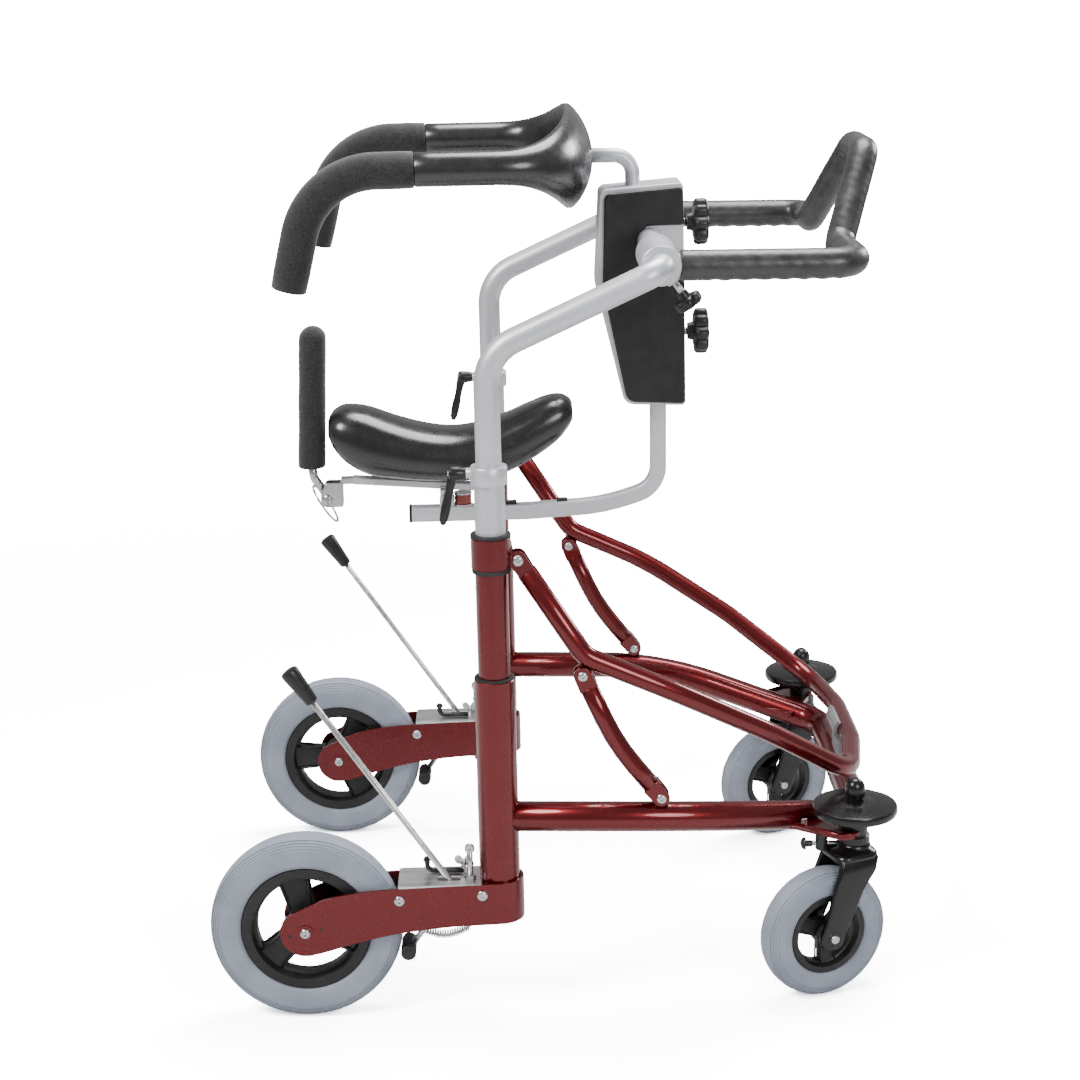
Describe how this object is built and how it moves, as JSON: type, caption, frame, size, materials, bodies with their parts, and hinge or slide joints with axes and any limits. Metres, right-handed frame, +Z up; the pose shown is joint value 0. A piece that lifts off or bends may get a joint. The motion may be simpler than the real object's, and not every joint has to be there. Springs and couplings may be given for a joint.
{
  "type": "front wheeled walker",
  "caption": "Posterior-saddle gait trainer: U-shaped wheeled base with caster fronts, column-guided upper frame, handlebar, trunk support and padded saddle.",
  "frame": {"origin": "on the floor under the middle of the bounding box", "axes": "+X forward (towards the casters and handlebar), +Y to the walker's left, +Z up"},
  "size_m": [0.896, 0.676, 1.141],
  "materials": {
    "red_paint": "gloss",
    "silver_paint": "satin",
    "zinc": "satin",
    "black_plastic": "gloss",
    "dark_rubber": "matte",
    "grey_tyre": "matte",
    "black_rim": "matte",
    "black_fork": "satin",
    "foam": "matte",
    "moulded_pad": "satin",
    "vinyl": "gloss",
    "bar_leather": "satin"
  },
  "bodies": {
    "lower_frame": {"rear_columns": "red_paint", "column_bushes": "black_plastic", "lower_frame_tube": "red_paint", "rear_forks": "red_paint", "brake_plates": "zinc", "frame_bolts": "zinc", "caster_arms": "red_paint", "bumper_discs": "dark_rubber", "bow_clip": "black_plastic", "brake_hardware": "zinc"},
    "carriage": {"carriage_tubes": "red_paint", "upper_collars": "red_paint", "collar_rings": "dark_rubber"},
    "bow": {"lift_bow": "red_paint", "bow_bolts": "zinc"},
    "suspension": {"inner_sleeves": "silver_paint", "sleeve_clamps": "silver_paint"},
    "upper_frame": {"upper_tubes": "silver_paint", "console_core": "silver_paint", "console_covers": "black_plastic"},
    "trunk_star": {"trunk_post_knob": "black_plastic"},
    "seat_star": {"seat_post_knob": "black_plastic"},
    "handlebar": {"handlebar": "bar_leather", "handlebar_clamps": "silver_paint"},
    "trunk": {"trunk_post": "silver_paint", "trunk_pad": "moulded_pad"},
    "seat_beam": {"seat_post": "silver_paint", "saddle_mount": "silver_paint", "saddle_bumper": "dark_rubber"},
    "saddle": {"saddle_rail": "zinc", "saddle": "vinyl"},
    "backrest": {"backrest_post": "zinc", "backrest_foam": "foam"},
    "latch": {"latch_ring": "zinc"},
    "rear_wheel_right": {"rear_tyre_right": "grey_tyre", "rear_rim_right": "black_rim"},
    "caster_right": {"caster_fork_right": "black_fork"},
    "front_wheel_right": {"front_tyre_right": "grey_tyre", "front_rim_right": "black_rim"},
    "plunger_right": {"lock_plunger_right": "zinc"},
    "brake_right": {"brake_rod_right": "zinc", "brake_knob_right": "black_plastic", "brake_shoe_right": "dark_rubber"},
    "link_right": {"link_right": "red_paint"},
    "clamp_lever_right": {"clamp_lever_right": "black_plastic"},
    "tilt_knob_right": {"handlebar_knob_right": "black_plastic"},
    "trunk_arm_right": {"trunk_arm_right": "foam"},
    "rear_wheel_left": {"rear_tyre_left": "grey_tyre", "rear_rim_left": "black_rim"},
    "caster_left": {"caster_fork_left": "black_fork"},
    "front_wheel_left": {"front_tyre_left": "grey_tyre", "front_rim_left": "black_rim"},
    "plunger_left": {"lock_plunger_left": "zinc"},
    "brake_left": {"brake_rod_left": "zinc", "brake_knob_left": "black_plastic", "brake_shoe_left": "dark_rubber"},
    "link_left": {"link_left": "red_paint"},
    "clamp_lever_left": {"clamp_lever_left": "black_plastic"},
    "tilt_knob_left": {"handlebar_knob_left": "black_plastic"},
    "trunk_arm_left": {"trunk_arm_left": "foam"}
  },
  "joints": [
    {"name": "carriage_lift", "type": "slide", "parent": "lower_frame", "child": "carriage", "axis": [0, 0, 1], "range_m": [-0.012, 0]},
    {"name": "bow_swing", "type": "hinge", "parent": "carriage", "child": "bow", "pos_m": [-0.038, 0, 0.61], "axis": [0, 1, 0], "range_deg": [-18, 1]},
    {"name": "spring_travel", "type": "slide", "parent": "carriage", "child": "suspension", "axis": [0, 0, 1], "range_m": [-0.03, 0], "stiffness_N_per_m": 8000, "springref_m": 0.03},
    {"name": "frame_height", "type": "slide", "parent": "suspension", "child": "upper_frame", "axis": [0, 0, 1], "range_m": [-0.05, 0.12]},
    {"name": "trunk_star_turn", "type": "hinge", "parent": "upper_frame", "child": "trunk_star", "pos_m": [0.206, 0, 0.984], "axis": [1, 0, 0], "continuous": true},
    {"name": "seat_star_turn", "type": "hinge", "parent": "upper_frame", "child": "seat_star", "pos_m": [0.206, 0, 0.837], "axis": [1, 0, 0], "continuous": true},
    {"name": "handlebar_tilt", "type": "hinge", "parent": "upper_frame", "child": "handlebar", "pos_m": [0.145, 0, 0.966], "axis": [0, 1, 0], "range_deg": [-50, 20]},
    {"name": "trunk_height", "type": "slide", "parent": "upper_frame", "child": "trunk", "axis": [0, 0, 1], "range_m": [-0.008, 0.08]},
    {"name": "seat_height", "type": "slide", "parent": "upper_frame", "child": "seat_beam", "axis": [0, 0, 1], "range_m": [-0.08, 0.02]},
    {"name": "saddle_rock", "type": "hinge", "parent": "seat_beam", "child": "saddle", "pos_m": [-0.133, 0, 0.617], "axis": [0, 1, 0], "range_deg": [-3, 2], "stiffness_Nm_per_rad": 120},
    {"name": "backrest_fold", "type": "hinge", "parent": "saddle", "child": "backrest", "pos_m": [-0.296, 0, 0.617], "axis": [0, 1, 0], "range_deg": [-90, 0]},
    {"name": "latch_swing", "type": "hinge", "parent": "backrest", "child": "latch", "pos_m": [-0.316, 0, 0.634], "axis": [0, 1, 0], "range_deg": [-4, 15]},
    {"name": "rear_wheel_right_spin", "type": "hinge", "parent": "lower_frame", "child": "rear_wheel_right", "pos_m": [-0.323, -0.303, 0.125], "axis": [0, 1, 0], "continuous": true},
    {"name": "caster_right_swivel", "type": "hinge", "parent": "lower_frame", "child": "caster_right", "pos_m": [0.393, -0.268, 0.2], "axis": [0, 0, 1], "continuous": true},
    {"name": "front_wheel_right_spin", "type": "hinge", "parent": "caster_right", "child": "front_wheel_right", "pos_m": [0.35035, -0.28523, 0.0875], "axis": [-0.3746, 0.9272, 0], "continuous": true},
    {"name": "plunger_right_pull", "type": "slide", "parent": "lower_frame", "child": "plunger_right", "axis": [1, 0, 0], "range_m": [-0.006, 0], "stiffness_N_per_m": 800, "springref_m": 0.01},
    {"name": "brake_right_pull", "type": "hinge", "parent": "lower_frame", "child": "brake_right", "pos_m": [-0.137, -0.303, 0.165], "axis": [0, 1, 0], "range_deg": [-12, 0], "stiffness_Nm_per_rad": 4, "springref_deg": 20.05},
    {"name": "link_right_swing", "type": "hinge", "parent": "lower_frame", "child": "link_right", "pos_m": [0.138, -0.303, 0.2895], "axis": [0, 1, 0], "range_deg": [-1, 14]},
    {"name": "clamp_lever_right_open", "type": "hinge", "parent": "suspension", "child": "clamp_lever_right", "pos_m": [-0.1205, -0.303, 0.721], "axis": [1, 0, 0], "range_deg": [-90, 0]},
    {"name": "tilt_knob_right_turn", "type": "hinge", "parent": "handlebar", "child": "tilt_knob_right", "pos_m": [0.179, -0.205, 0.916], "axis": [0.5602, 0, -0.8283], "continuous": true},
    {"name": "trunk_arm_right_fold", "type": "hinge", "parent": "trunk", "child": "trunk_arm_right", "pos_m": [-0.155, -0.21, 1.082], "axis": [1, 0, 0], "range_deg": [0, 80]},
    {"name": "rear_wheel_left_spin", "type": "hinge", "parent": "lower_frame", "child": "rear_wheel_left", "pos_m": [-0.323, 0.303, 0.125], "axis": [0, 1, 0], "continuous": true},
    {"name": "caster_left_swivel", "type": "hinge", "parent": "lower_frame", "child": "caster_left", "pos_m": [0.393, 0.268, 0.2], "axis": [0, 0, 1], "continuous": true},
    {"name": "front_wheel_left_spin", "type": "hinge", "parent": "caster_left", "child": "front_wheel_left", "pos_m": [0.35035, 0.25077, 0.0875], "axis": [-0.3746, 0.9272, 0], "continuous": true},
    {"name": "plunger_left_pull", "type": "slide", "parent": "lower_frame", "child": "plunger_left", "axis": [1, 0, 0], "range_m": [-0.006, 0], "stiffness_N_per_m": 800, "springref_m": 0.01},
    {"name": "brake_left_pull", "type": "hinge", "parent": "lower_frame", "child": "brake_left", "pos_m": [-0.137, 0.303, 0.165], "axis": [0, 1, 0], "range_deg": [-12, 0], "stiffness_Nm_per_rad": 4, "springref_deg": 20.05},
    {"name": "link_left_swing", "type": "hinge", "parent": "lower_frame", "child": "link_left", "pos_m": [0.138, 0.303, 0.2895], "axis": [0, 1, 0], "range_deg": [-1, 14]},
    {"name": "clamp_lever_left_open", "type": "hinge", "parent": "suspension", "child": "clamp_lever_left", "pos_m": [-0.1205, 0.303, 0.721], "axis": [1, 0, 0], "range_deg": [0, 90]},
    {"name": "tilt_knob_left_turn", "type": "hinge", "parent": "handlebar", "child": "tilt_knob_left", "pos_m": [0.179, 0.205, 0.916], "axis": [0.5602, 0, -0.8283], "continuous": true},
    {"name": "trunk_arm_left_fold", "type": "hinge", "parent": "trunk", "child": "trunk_arm_left", "pos_m": [-0.155, 0.21, 1.082], "axis": [1, 0, 0], "range_deg": [-80, 0]}
  ],
  "couplings": [
    {"joint": "bow_swing", "follows": "carriage_lift", "rad_per_m": 25.343},
    {"joint": "link_right_swing", "follows": "carriage_lift", "rad_per_m": -19.826},
    {"joint": "link_left_swing", "follows": "carriage_lift", "rad_per_m": -19.826}
  ]
}
